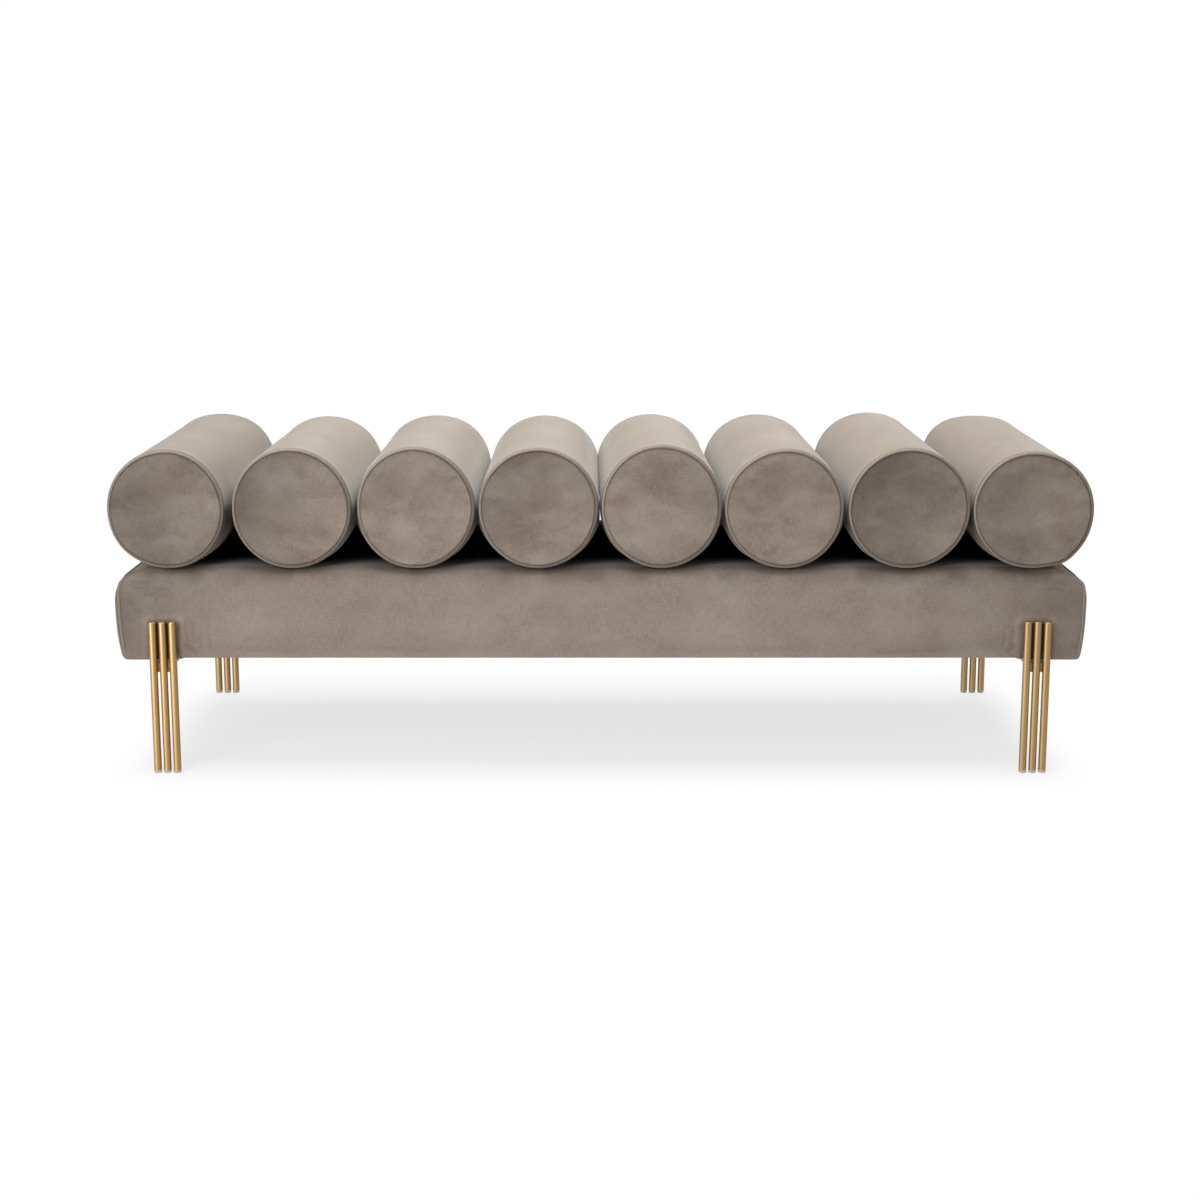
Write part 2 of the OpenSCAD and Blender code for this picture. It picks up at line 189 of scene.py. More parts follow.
room_light = 0.35
world = bpy.data.worlds.new("studio")
world.use_nodes = True
scene.world = world
air = Tree(world.node_tree)
dim = air.node("ShaderNodeBackground", {}, {"Color": (1, 1, 1, 1), "Strength": room_light})
white = air.node("ShaderNodeBackground", {}, {"Color": (1, 1, 1, 1), "Strength": 1})
air.node("ShaderNodeOutputWorld", {}, {
    "Surface": air.node("ShaderNodeMixShader", {},
                        {"Fac": air.in_view(), "Shader": dim, "Shader_001": white})})

# How far the floor reaches, how dark the bench's shadow is, and where that fades out at the
# sides, in front and behind.
floor_reach = 8
shadow_depth = 0.26
shadow_sides = (0.66, 0.79)
shadow_front = (-0.39, -0.26)
shadow_back = (0.35, 0.6)
once_round = ((-1, -1), (1, -1), (1, 1), (-1, 1))
floor = new_piece("floor", [(x * floor_reach, y * floor_reach, 0) for x, y in once_round], [(0, 1, 2, 3)])
tree = new_finish("white_sweep")
place = tree.place()
aside = tree.node("ShaderNodeVectorMath", {"operation": "ABSOLUTE"}, {"Vector": place})
shadow = 1 - tree.band(tree.part(aside, "X"), *shadow_sides)
shadow *= tree.band(tree.part(place, "Y"), *shadow_front)
shadow *= 1 - tree.band(tree.part(place, "Y"), *shadow_back)
paper = tree.node("ShaderNodeBsdfDiffuse", {}, {"Color": (0.86, 0.86, 0.86, 1)})
glow = tree.node("ShaderNodeEmission", {}, {"Color": (1, 1, 1, 1), "Strength": 1})
lit = 1 - tree.in_view() * (1 - shadow * shadow_depth)
tree.node("ShaderNodeOutputMaterial", {}, {
    "Surface": tree.node("ShaderNodeMixShader", {}, {"Fac": lit, "Shader": glow, "Shader_001": paper})})
floor.data.materials.append(tree.finish)


def softbox(name, place, aim, width, height, power):
    """A broad soft lamp that points at aim."""
    lamp = bpy.data.lights.new(name, "AREA")
    lamp.shape = "RECTANGLE"
    lamp.size = width
    lamp.size_y = height
    lamp.energy = power
    stand = bpy.data.objects.new(name, lamp)
    stand.location = place
    stand.rotation_euler = (Vector(aim) - Vector(place)).to_track_quat("-Z", "Y").to_euler()
    scene.collection.objects.link(stand)
    return stand


softbox("overhead", (0, 0.1, 2.5), (0, 0, 0.4), width=2.2, height=2.3, power=80)
softbox("left_front", (-1.7, -2.7, 1.9), (0, 0, 0.35), width=1.3, height=1.6, power=39)
# A strip at the left that only the metal mirrors.
strip = softbox("low_strip", (-1.9, -2.1, 0.45), (0, -0.27, 0.2), width=0.4, height=0.95, power=88)
strip.visible_diffuse = False


# The timber inside: pine rails glued and stapled into a frame, a plywood deck on it, plywood
# boards in the bolsters, and blocks at the corners that take the leg bolts.
def dress(finish, *names):
    """Gives CAD nodes their finish."""
    for name in names:
        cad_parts[name].material_slots[0].material = finish


def pine(name, along):
    """Planed pine with its grain along axis number along."""
    tree = new_finish(name)
    where = tree.place()
    stretch = [70, 70, 70]
    stretch[along] = 3
    grain = tree.noise(where, stretch, 4, 0.6, 0.6)
    fibre = tree.noise(where, [9 * part for part in stretch], 2)
    knots = tree.band(tree.noise(where, 9, 1), 0.66, 0.74)
    wood = tree.blend(tree.band(grain, 0.35, 0.65), paint(222, 190, 140), paint(196, 152, 98))
    wood = tree.blend(knots * 0.7, wood, paint(128, 82, 44))
    wood = tree.blend(fibre * 0.25, wood, paint(236, 208, 164))
    rough = tree.relief(grain + fibre, 0.3 * mm, 0.3)
    return tree.surface(Base_Color=wood, Roughness=fibre * 0.2 + 0.5, Normal=rough)


def plywood(name, ply=1.6 * mm):
    """Birch plywood: a calm face and striped edges."""
    tree = new_finish(name)
    where = tree.place()
    grain = tree.noise(where, (3, 60, 60), 4, 0.6, 0.4)
    stripe = tree.node("ShaderNodeMath", {"operation": "SINE"},
                       {"Value": tree.part(where, "Z") * (2 * math.pi / ply)})
    wood = tree.blend(tree.band(grain, 0.3, 0.7), paint(226, 200, 158), paint(206, 174, 128))
    wood = tree.blend(tree.band(stripe, 0, 0.4) * 0.45, wood, paint(150, 108, 68))
    rough = tree.relief(grain, 0.2 * mm, 0.3)
    return tree.surface(Base_Color=wood, Roughness=grain * 0.2 + 0.5, Normal=rough)


dress(pine("pine_along", 0), "front_rail", "back_rail")
dress(pine("pine_across", 1), "end_rails", "cross_rails", "leg_blocks")
dress(plywood("birch_plywood"), "deck_panel", "bolster_boards")


# The bolts and nuts: zinc plated steel. Each bolster is drawn down by two bolts that go
# up through the deck into tee nuts in its board.
def zinc():
    tree = new_finish("zinc_plate")
    where = tree.place()
    cloud = tree.noise(where, 160, 3)
    metal = tree.blend(cloud, paint(176, 180, 184), paint(208, 208, 200))
    dimple = tree.relief(tree.noise(where, 1400, 1), 0.1 * mm, 0.2)
    return tree.surface(Base_Color=metal, Metallic=1.0, Roughness=cloud * 0.25 + 0.25, Normal=dimple)


zinc_plate = zinc()
dress(zinc_plate, "bolster_bolts", "bolster_tee_nuts")


# The base: foam on the deck and round the frame, under one length of velvet that goes over
# the front, top and back, is sewn to a panel at each end, and is stapled under the rails.
def eased(low, high, value):
    """0 up to low, 1 from high on, and a smooth rise between them."""
    share = np.clip((value - low) / (high - low), 0, 1)
    return share * share * (3 - 2 * share)


def hump(middle, width, value):
    """1 at middle, and a smooth fall to both sides of it."""
    return np.exp(-(((value - middle) / width) ** 2))


def points_of(mesh):
    flat = np.zeros(len(mesh.vertices) * 3)
    mesh.vertices.foreach_get("co", flat)
    return flat.reshape(-1, 3)


def place_points(mesh, points):
    mesh.vertices.foreach_set("co", points.astype(np.float32).ravel())
    mesh.update()


def normals_of(mesh):
    flat = np.zeros(len(mesh.vertices) * 3)
    mesh.vertex_normals.foreach_get("vector", flat)
    return flat.reshape(-1, 3)


def baked(piece):
    """Works the piece's modifiers into its mesh and drops them."""
    bpy.context.view_layer.update()
    graph = bpy.context.evaluated_depsgraph_get()
    ready = piece.evaluated_get(graph)
    piece.data = bpy.data.meshes.new_from_object(ready, preserve_all_data_layers=True, depsgraph=graph)
    piece.modifiers.clear()


filling_steps = 20
filling_push = 4


def settle(cushion, sewn, reach):
    """Fills a cover: it swells from its sewn points, and no point moves further than about reach."""
    start = points_of(cushion.data)
    group = cushion.vertex_groups.new(name="sewn")
    group.add([int(index) for index in sewn], 1, "REPLACE")
    filling = cushion.modifiers.new("filling", "CLOTH")
    cover = filling.settings
    cover.quality = 5
    cover.mass = 0.3
    cover.tension_stiffness = 20
    cover.compression_stiffness = 20
    cover.shear_stiffness = 8
    cover.bending_stiffness = 0.6
    cover.vertex_group_mass = "sewn"
    cover.use_pressure = True
    cover.uniform_pressure_force = filling_push
    cover.effector_weights.gravity = 0
    for step in range(1, filling_steps + 1):
        scene.frame_set(step)
    baked(cushion)
    scene.frame_set(1)
    moved = points_of(cushion.data) - start
    far = np.linalg.norm(moved, axis=1, keepdims=True)
    place_points(cushion.data, start + moved * reach * np.tanh(far / reach) / np.maximum(far, 1e-9))
    cushion.vertex_groups.clear()


def finer(cushion):
    """Splits each face in four and rounds the whole."""
    smooth = cushion.modifiers.new("finer", "SUBSURF")
    smooth.levels = 1
    smooth.render_levels = 1
    baked(cushion)
    cushion.data.shade_smooth()


def lay_nap(cushion, places):
    """Keeps where each face corner lies on the flat cloth, in metres, for the velvet's nap."""
    layer = cushion.data.uv_layers.new(name="nap")
    layer.data.foreach_set("uv", np.asarray(places, np.float32).ravel())


def keep_numbers(piece, **kept):
    """Keeps numbers for the points of a piece, for its finish or for a jig."""
    for name, numbers in kept.items():
        layer = piece.data.attributes.new(name, "FLOAT", "POINT")
        layer.data.foreach_set("value", np.asarray(numbers, np.float32))


def velvet(name, on_cushion=True):
    """Short velvet: patches where the pile was stroked, a fine crossed weave, a soft pale sheen."""
    tree = new_finish(name)
    # tone: how light each point is, which carries painted light and shade as well as the pile's own patches.
    tone = tree.kept("tone")
    if on_cushion:
        where = tree.node("ShaderNodeUVMap", {"uv_map": "nap"})
        stroked = tree.kept("stroked")
        shaded = tree.kept("shaded")
    else:
        where, stroked, shaded = tree.place(), 0.3, None
    clouds = tree.band(tree.noise(where, (8, 11, 10), 2, 0.5, 0.3), 0.32, 0.68)
    strokes = tree.band(tree.noise(where, (20, 32, 30), 2, 0.5, 0.5, turn=0.3), 0.35, 0.68)
    across = tree.noise(where, (80, 620, 600), 2, 0.6)
    down = tree.noise(where, (620, 80, 600), 2, 0.6)
    pile = tree.noise(where, 1500, 2, 0.7)
    nap = (0.5 + ((clouds - 0.5) * 0.5 + (strokes - 0.5) * 0.28) * stroked
           + (across - 0.5) * 0.9 + (down - 0.5) * 0.9 + (pile - 0.5) * 0.6)
    colour = tree.blend(nap, paint(121, 106, 96), paint(160, 148, 136))
    warm = tree.band(tree.noise(where, 17, 2, 0.5, 0.8), 0.4, 0.62)
    colour = tree.blend(warm * 0.35, colour, paint(146, 131, 117))
    shade = tree.node("ShaderNodeVectorMath", {"operation": "SCALE"}, {"Vector": colour, "Scale": tone})
    weave = tree.relief(across + down + pile * 1.5, 0.3 * mm, 0.25)
    return tree.surface(
        shaded, Base_Color=shade, Roughness=0.9 - nap * 0.1, Specular_IOR_Level=0.15,
        Sheen_Weight=0.55, Sheen_Roughness=0.4, Sheen_Tint=paint(233, 236, 228), Normal=weave)


cushion_velvet = velvet("velvet")

wrap_low, wrap_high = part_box("base_wrap_cover")
welt_r = 1.75 * mm
seam_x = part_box("base_piping")[1].x - welt_r
end_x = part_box("base_end_panel_right")[1].x
dust_low, dust_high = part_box("dust_cover")
side_bulge = 2.2 * mm
base_low = wrap_low.z
base_high = wrap_high.z
base_side = wrap_high.y - side_bulge
base_mid = (base_low + base_high) / 2
high_r = 18 * mm
low_r = 9 * mm
end_margin = 45 * mm
end_turn = 3
lip_x = dust_high.x + 1 * mm
lip_y = dust_high.y + 1 * mm
recess = 2.4 * mm
seam_dip = 1 * mm
slack = 1.2 * mm
drop_x = 0.69
end_drop = 13 * mm
foot_reach = 28 * mm
head_reach = 10 * mm
flat_reach = 45 * mm
# For the left and the right end: how far its foot is drawn in, how far the whole end sits
# further out, how far its head rolls in, and how full its panel is.
end_ways = {-1: (9.5 * mm, 0, 9 * mm, 1), 1: (7.5 * mm, 4.5 * mm, 13 * mm, 0.7)}


def round_stretch(centre, radius, first, last, cells):
    """Points along part of a circle, angles in degrees."""
    turns = np.radians(np.linspace(first, last, cells + 1))
    return [(centre[0] + radius * math.cos(t), centre[1] + radius * math.sin(t)) for t in turns]


def half_section(inset, hollow):
    """Half of the base's outline as depth and height, from under the middle over the front to
    the middle of the top. The dust cloth's hollow is left open where hollow says so."""
    side = base_side - inset
    low = base_low + inset
    high = base_high - inset
    bend_low = max(low_r - inset, 0.3 * mm)
    bend_high = max(high_r - inset, 0.3 * mm)
    if hollow:
        under = [(-y, low + recess) for y in np.linspace(0, lip_y, 16)]
        under += [(-y, low) for y in np.linspace(lip_y + 0.8 * mm, side - bend_low, 6)]
    else:
        under = [(-y, low) for y in np.linspace(0, side - bend_low, 22)]
    line = under[:-1] + round_stretch((bend_low - side, low + bend_low), bend_low, 270, 180, 4)
    line += [(-side, z) for z in np.linspace(low + bend_low, high - bend_high, 17)[1:-1]]
    line += round_stretch((bend_high - side, high - bend_high), bend_high, 180, 90, 6)
    line += [(y, high) for y in np.linspace(bend_high - side, 0, 21)[1:]]
    swell = side_bulge - slack
    return [(y - swell * max(0, 1 - ((z - base_mid) / (base_high - base_low) * 2) ** 2) * (y < -0.2), z)
            for y, z in line]


def section(inset, hollow):
    """The whole outline, once round."""
    half = half_section(inset, hollow)
    return np.array(half + [(-y, z) for y, z in half[-2:0:-1]])


def edge_distance(y, z):
    """How far a point of the end panel lies inside its outline, with soft inner corners."""
    bend = low_r + (high_r - low_r) * eased(base_mid - 20 * mm, base_mid + 20 * mm, z)
    across = bend - (base_side - np.abs(y))
    up = bend - ((base_high - base_low) / 2 - np.abs(z - base_mid))
    outside = np.hypot(np.maximum(across, 0), np.maximum(up, 0))
    deep = (np.maximum(-across, 1e-6) ** -2.5 + np.maximum(-up, 1e-6) ** -2.5) ** -0.4
    return bend - outside + np.where((across < 0) & (up < 0), deep, 0)


def end_crown(distance):
    """How far the end panel stands out from its seam, by the distance from it."""
    share = 1 - np.clip(distance / end_margin, 0, 1)
    return (end_x - slack - seam_x) * (1 - share ** end_turn) ** (1 / end_turn)


def soften_ends(spots):
    """The ends are softer than the middle: the top drops and rolls in to its seam, and the foot
    of each seam is drawn in."""
    x, z = spots[:, 0].copy(), spots[:, 2].copy()
    share = np.clip((np.abs(x) - drop_x) / (seam_x - drop_x), 0, 1)
    top = np.clip((z - base_mid) / (base_high - base_mid), 0, 1)
    spots[:, 2] -= end_drop * top * (1 - np.sqrt(1 - share ** 2))
    for side, (tuck, further, roll, full) in end_ways.items():
        foot = tuck * np.exp((base_low - z) / foot_reach)
        head = roll * hump(base_high, head_reach, z)
        stands_out = np.maximum(np.abs(x) - seam_x, 0)
        flat = stands_out * (1 - full * eased(0, flat_reach, base_high - z))
        moved = share ** 2 * (further - foot - head) - flat
        spots[:, 0] += side * moved * (x * side > 0)


def sleeve(loops, around):
    """The faces between loops of around points each, one loop after another, facing out."""
    ring, k = np.meshgrid(np.arange(loops - 1), np.arange(around), indexing="ij")
    here = ring * around + k
    after = ring * around + (k + 1) % around
    return np.stack([here, here + around, after + around, after], axis=-1).reshape(-1, 4)


def panel(rim, columns, rows):
    """Fills a rim, whose first point is a corner, with a grid: the places inside it, and its
    faces, where a number from the rim's length on means a place inside."""
    bottom = np.arange(columns + 1)
    right = columns + np.arange(rows + 1)
    top = 2 * columns + rows - bottom
    left = (2 * columns + 2 * rows - np.arange(rows + 1)) % len(rim)
    u, v = np.meshgrid(bottom / columns, np.arange(rows + 1) / rows, indexing="ij")
    u, v = u[..., None], v[..., None]
    spots = ((1 - v) * rim[bottom][:, None] + v * rim[top][:, None]
             + (1 - u) * rim[left][None] + u * rim[right][None]
             - (1 - u) * (1 - v) * rim[bottom[0]] - u * (1 - v) * rim[bottom[-1]]
             - (1 - u) * v * rim[top[0]] - u * v * rim[top[-1]])
    number = np.zeros((columns + 1, rows + 1), int)
    number[1:-1, 1:-1] = len(rim) + np.arange((columns - 1) * (rows - 1)).reshape(columns - 1, rows - 1)
    number[:, 0], number[:, -1], number[0], number[-1] = bottom, top, left, right
    faces = np.stack([number[:-1, :-1], number[1:, :-1], number[1:, 1:], number[:-1, 1:]], axis=-1)
    return spots[1:-1, 1:-1].reshape(-1, rim.shape[1]), faces.reshape(-1, 4)


def closed_cover(name, loops, corner, columns, rows, crown, places, end_places):
    """A cover of loops of points with a panel at both ends. The panels start at loop point
    corner, crown gives a panel point its place, and the places are for the velvet's nap."""
    count, around = len(loops), len(loops[0])
    points = [np.concatenate(loops)]
    faces = [sleeve(count, around)]
    nap = [places]
    for end, first in ((-1, 0), (1, (count - 1) * around)):
        order = first + (corner + np.arange(around)) % around
        inside, squares = panel(points[0][order], columns, rows)
        inside = crown(inside, end)
        number = np.concatenate([order, sum(map(len, points)) + np.arange(len(inside))])
        squares = number[squares][:, ::-end]
        points.append(inside)
        faces.append(squares)
        nap.append(end_places(np.concatenate(points)[squares], end))
    made = new_piece(name, np.concatenate(points), np.concatenate(faces).tolist())
    lay_nap(made, np.concatenate(nap))
    return made


def sleeve_places(course, run):
    """Where the faces of a sleeve lie on the cloth: course for each loop, run for each point."""
    here, there = course[:-1, None], course[1:, None]
    low, high = run[None, :-1], run[None, 1:]
    corners = [(here, low), (there, low), (there, high), (here, high)]
    pairs = [np.stack(np.broadcast_arrays(*corner), axis=-1) for corner in corners]
    return np.stack(pairs, axis=2).reshape(-1, 4, 2)


def base_cushion():
    """The padded base as one closed cover: loops along the base and two end panels."""
    insets = np.array([0.4, 1.4, 3.4, 6, 9]) * mm
    near_leg = np.concatenate([np.arange(0, 600, 11), np.arange(600, 640, 6), np.arange(640, 724, 4.4)]) * mm
    near_leg = near_leg[np.abs(near_leg - lip_x) > 2 * mm]
    at_lip = lip_x + np.array([-0.5, 0.5]) * mm
    near_seam = seam_x - np.array([12, 7.5, 4.4, 2.2]) * mm
    stations = np.sort(np.concatenate([near_leg, at_lip, near_seam]))
    rings = [(x, 0) for x in stations] + [(seam_x, seam_dip)]
    rings += [(seam_x + end_crown(inset), inset) for inset in insets]
    rings = [(-x, inset) for x, inset in rings[:0:-1]] + rings
    loops = []
    for x, inset in rings:
        outline = section(inset, abs(x) < lip_x)
        loops.append(np.column_stack([np.full(len(outline), x), outline]))
    flat = section(0, False)
    steps = np.linalg.norm(np.roll(flat, -1, axis=0) - flat, axis=1)
    run = np.concatenate([[0], np.cumsum(steps)])

    def crowned(spots, end):
        spots[:, 0] = end * (seam_x + end_crown(edge_distance(spots[:, 1], spots[:, 2])))
        return spots

    cushion = closed_cover(
        "base_cushion", loops, 111, 46, 21, crowned, sleeve_places(np.array([x for x, _ in rings]), run),
        lambda spots, end: np.stack([3 * end + spots[..., 1], spots[..., 2]], axis=-1))
    spots = points_of(cushion.data)
    sewn = np.abs(np.abs(spots[:, 0]) - seam_x) < 0.1 * mm
    stapled = (spots[:, 2] < base_low + 3 * mm) & (np.abs(spots[:, 1]) < base_side - 4 * mm)
    soften_ends(spots)
    place_points(cushion.data, spots)
    seams = [np.arange(ring * len(flat), (ring + 1) * len(flat))
             for ring, (x, inset) in enumerate(rings) if abs(x) == seam_x]
    return cushion, np.flatnonzero(sewn | stapled), seams


cushion, held, base_seams = base_cushion()
settle(cushion, held, 3 * mm)
finer(cushion)

leg_x = (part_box("front_right_leg")[0].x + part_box("front_right_leg")[1].x) / 2
upright_thick = 2.5 * mm
upright_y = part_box("back_right_bracket")[1].y - upright_thick
upright_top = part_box("back_right_bracket")[1].z
upright_room = 0.3 * mm
# How far from a leg's middle the cover lies flat, where the roll of cloth round that stands, how
# wide it is, and how far away the cloth is palest: pressed pile, and painted light above the tubes.
flat_half = 22 * mm
roll_away = 7 * mm
roll_width = 4.5 * mm
pale_away = 6 * mm


def press_legs(spots, normals, tone):
    """The cover lies flat behind each leg's upright and rolls up softly round it. It is paler there:
    pressed pile, and above the tubes painted light that lifts the roll's shade.
    """
    x, y, z = spots.T
    outward = np.sign(y) * np.abs(normals[:, 1]) ** 2
    across = np.abs(np.abs(x) - leg_x) - flat_half
    up = z - (upright_top + 1 * mm)
    away = np.hypot(np.maximum(across, 0), np.maximum(up, 0)) + np.minimum(np.maximum(across, up), 0)
    above = eased(-6 * mm, 2 * mm, up)
    roll = (1.3 - 0.6 * above) * mm * hump(roll_away, roll_width, away)
    flat = -0.9 * mm * (1 - eased(-3 * mm, 3 * mm, away))
    y += outward * (roll + flat)
    behind = (away < 0) & (np.abs(y) > 0.24)
    limit = upright_y - upright_room
    y[behind] = np.clip(y[behind], -limit, limit)
    # Paler round the legs: pressed pile, and above the tubes painted light that lifts the roll's shade.
    tone += np.abs(outward) * (0.08 + 0.24 * above) * hump(pale_away, pale_away, away)


# How far the lower edge hangs outside the legs, and how deep, how wide and where its fold is.
hang = 3 * mm
fold_depth = 2.2 * mm
fold_width = 2.6 * mm
fold_x = leg_x - 24.5 * mm


def drop_ends(spots):
    """Outside the legs the lower edge hangs a little lower, with a fold at each leg's inner side."""
    x, y, z = np.abs(spots).T
    low = 1 - eased(base_low + 1 * mm, base_low + 24 * mm, z)
    rim = eased(0.215, 0.235, y) + eased(0.706, 0.712, x)
    outer = eased(leg_x + 21 * mm, leg_x + 26 * mm, x)
    fold = hump(fold_x, fold_width, x)
    spots[:, 2] -= low * np.minimum(rim, 1) * (outer * hang + fold * fold_depth)


# Creases that the maker's hands left: where each starts and ends along and up the front, how
# deep and how wide it is, all in millimetres.
creases = [
    (-733, 303, -694, 300, 0.5, 2.6), (-728, 295, -672, 290, 0.5, 3), (-712, 285, -668, 281, 0.35, 2.6),
    (-736, 277, -716, 252, 0.35, 3), (-649, 243, -646, 214, 0.45, 2.4), (-637, 240, -633, 205, 0.4, 2.6),
    (-626, 226, -624, 196, 0.4, 2.4), (-613, 236, -609, 192, 0.3, 2.8), (-652, 206, -630, 190, 0.6, 3),
    (735, 300, 702, 303, 0.4, 2.8), (726, 290, 686, 293, 0.35, 3), (646, 232, 643, 198, 0.4, 2.6),
    (633, 224, 630, 194, 0.35, 2.6), (652, 204, 634, 190, 0.5, 3), (-560, 196, -470, 191, 0.35, 3.4),
    (-380, 199, -250, 192, 0.3, 4), (150, 193, 320, 198, 0.3, 4), (420, 190, 560, 196, 0.35, 3.6),
]
crease_relief = 1.5 * mm
crease_shade = 0.35


def press_creases(spots, tone, side):
    """Presses the creases into the front, side -1, or turned about into the back, side 1."""
    facing = spots[:, 1] * side > 0.24
    flat = spots[:, [0, 2]] * [-side, 1]
    for x0, z0, x1, z1, depth, width in creases:
        start = np.array([x0, z0]) * mm
        along = np.array([x1, z1]) * mm - start
        share = ((flat - start) @ along) / (along @ along)
        off = np.abs((flat - start) @ np.array([-along[1], along[0]])) / np.linalg.norm(along) / (width * mm)
        fade = eased(-0.15, 0.25, share) * (1 - eased(0.75, 1.15, share))
        groove = hump(0, 1, off)
        lip = 0.6 * hump(2.2, 1, off)
        spots[:, 1] -= side * facing * fade * (groove - lip) * depth * crease_relief
        # Painted shade: the cloth is darker in each groove.
        tone -= facing * fade * groove * depth * crease_shade


# How dark the cloth is painted as shade where no light reaches it, and how far the top rises
# between bolsters.
deep_shade = 0.97
rise_between = 1.2 * mm


def under_bolsters(spots, tone):
    """The top is pressed flat where the bolsters rest, and rises a little between them. Along the
    front top edge the cloth is darker: painted shade below the bolsters, with rubbed smudges in
    it. Gives how far the cloth is painted as lying in their shade, with a painted contact shadow
    below each bolster."""
    x, y, z = spots.T
    top = eased(base_high - 6 * mm, base_high - 1 * mm, z)
    between = (1 - np.cos(2 * math.pi * x / pitch + math.pi)) / 2
    limit = base_high - 0.2 * mm + rise_between * between ** 2
    z[:] = np.where(top > 0, np.minimum(z, limit), z)
    inner = 1 - eased(0.66, 0.69, np.abs(x))
    covered = (1 - eased(0.13, 0.262, np.abs(y))) * inner
    contact = (1 - between) * eased(base_high - 15 * mm, base_high - 3 * mm, z) * inner
    rub = sum(np.cos(turn * x + start) for turn, start in ((11, 0.3), (27, 1.1), (53, 2), (90, 0.6))) / 4
    edge = eased(base_high - 32 * mm, base_high - 7 * mm, z)
    edge *= eased(0.22, 0.24, np.abs(y))
    edge *= 1 - eased(0.69, 0.73, np.abs(x))
    right_half = eased(-0.35, -0.1, x) * (1 - eased(0.5, 0.65, x))
    # Painted shade along the front top edge below the bolsters, with rubbed smudges in it.
    tone -= edge * (0.16 + 0.09 * right_half + 0.2 * eased(-0.1, 0.5, rub))
    reached = eased(base_high - 10 * mm, base_high - 1 * mm, z)
    # Painted shade under and between the bolsters, and a painted contact shadow below each one.
    return np.clip(deep_shade * reached * covered + 0.3 * contact, 0, deep_shade)


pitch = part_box("bolster_2_barrel")[0].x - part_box("bolster_1_barrel")[0].x
spots = points_of(cushion.data)
normals = normals_of(cushion.data)
# How light the cloth is along the base, partly painted shade that darkens both ends, and how
# much painted light it has along the lower edge, where light comes up from the floor.
tone_places = (-0.76, -0.73, -0.7, -0.6, -0.3, 0, 0.25, 0.45, 0.62, 0.76)
tone_levels = (0.7, 0.79, 0.88, 0.99, 1.04, 1.06, 1.12, 1.04, 0.97, 0.78)
tone = np.interp(spots[:, 0], tone_places, tone_levels)
lower_edge = 1 - eased(base_low + 6 * mm, base_low + 20 * mm, spots[:, 2])
tone += (0.06 + 0.09 * hump(-0.4, 0.22, spots[:, 0])) * lower_edge
press_legs(spots, normals, tone)
drop_ends(spots)
press_creases(spots, tone, -1)
press_creases(spots, tone, 1)
shaded = under_bolsters(spots, tone)
place_points(cushion.data, spots)
keep_numbers(cushion, shaded=shaded, tone=tone, stroked=np.full(len(tone), 0.5))
cushion.data.materials.append(cushion_velvet)
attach(cushion, "root")
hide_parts("base_wrap_cover", "base_end_panel_left", "base_end_panel_right",
            "seat_foam", "front_foam", "back_foam", "end_foams")


# The piping of the base: a cord in a strip of the same velvet, sewn in along each end seam
# and tucked away under the base.
def new_jig(name, result, **sizes):
    """An empty jig that makes a result from a line and from sizes, given with their kinds."""
    jig = bpy.data.node_groups.new(name, "GeometryNodeTree")
    tree = Tree(jig)
    for size, kind in {"Line": "Geometry", **sizes}.items():
        jig.interface.new_socket(size.replace("_", " "), in_out="INPUT", socket_type=f"NodeSocket{kind}")
    jig.interface.new_socket(result, in_out="OUTPUT", socket_type="NodeSocketGeometry")
    entry = jig.nodes.new("NodeGroupInput")
    return jig, tree, {socket.name: Socket(tree, socket) for socket in entry.outputs}


def close_jig(jig, tree, shape, finish):
    """Ends a jig: its shape becomes a plain mesh and takes its finish."""
    shape = tree.node("GeometryNodeRealizeInstances", {}, {"Geometry": shape})
    shape = tree.node("GeometryNodeSetMaterial", {}, {"Geometry": shape, "Material": finish})
    jig.links.new(shape.socket, jig.nodes.new("NodeGroupOutput").inputs[0])
    return jig


def welt_jig():
    """The jig that lays piping along a line of points."""
    jig, tree, given = new_jig("lay_piping", "Piping", Cord_radius="Float", Sides="Int", Cloth="Material")
    line = tree.node("GeometryNodeMeshToCurve", {}, {"Mesh": given["Line"]})
    round_cord = tree.node("GeometryNodeCurvePrimitiveCircle", {},
                           {"Resolution": given["Sides"], "Radius": given["Cord radius"]}, "Curve")
    girth = tree.node("GeometryNodeInputNamedAttribute", {"data_type": "FLOAT"},
                      {"Name": "girth"}, "Attribute")
    cord = tree.node("GeometryNodeCurveToMesh", {},
                     {"Curve": line, "Profile Curve": round_cord, "Scale": girth, "Fill Caps": True})
    cord = tree.node("GeometryNodeSetShadeSmooth", {}, {"Geometry": cord})
    return close_jig(jig, tree, cord, given["Cloth"])


def run_jig(jig, line, sizes):
    """Runs a jig on a piece, with its sizes by name, and keeps the result as a plain mesh."""
    work = line.modifiers.new("jig", "NODES")
    work.node_group = jig
    names = {item.name: item.identifier for item in jig.interface.items_tree if item.in_out == "INPUT"}
    for name, value in sizes.items():
        work[names[name]] = value
    baked(line)


def piping_line(name, lines, closed, **numbers):
    """Lines of points, each an array, as one piece that a jig can follow, with numbers that the
    jig or the finish reads, given for each line."""
    points, edges = [], []
    for line in lines:
        first = len(points)
        points += [tuple(point) for point in line]
        edges += [(first + k, first + k + 1) for k in range(len(line) - 1)]
        if closed:
            edges.append((len(points) - 1, first))
    piece = new_piece(name, points, [], edges)
    keep_numbers(piece, **{name: np.concatenate(parts) for name, parts in numbers.items()})
    return piece


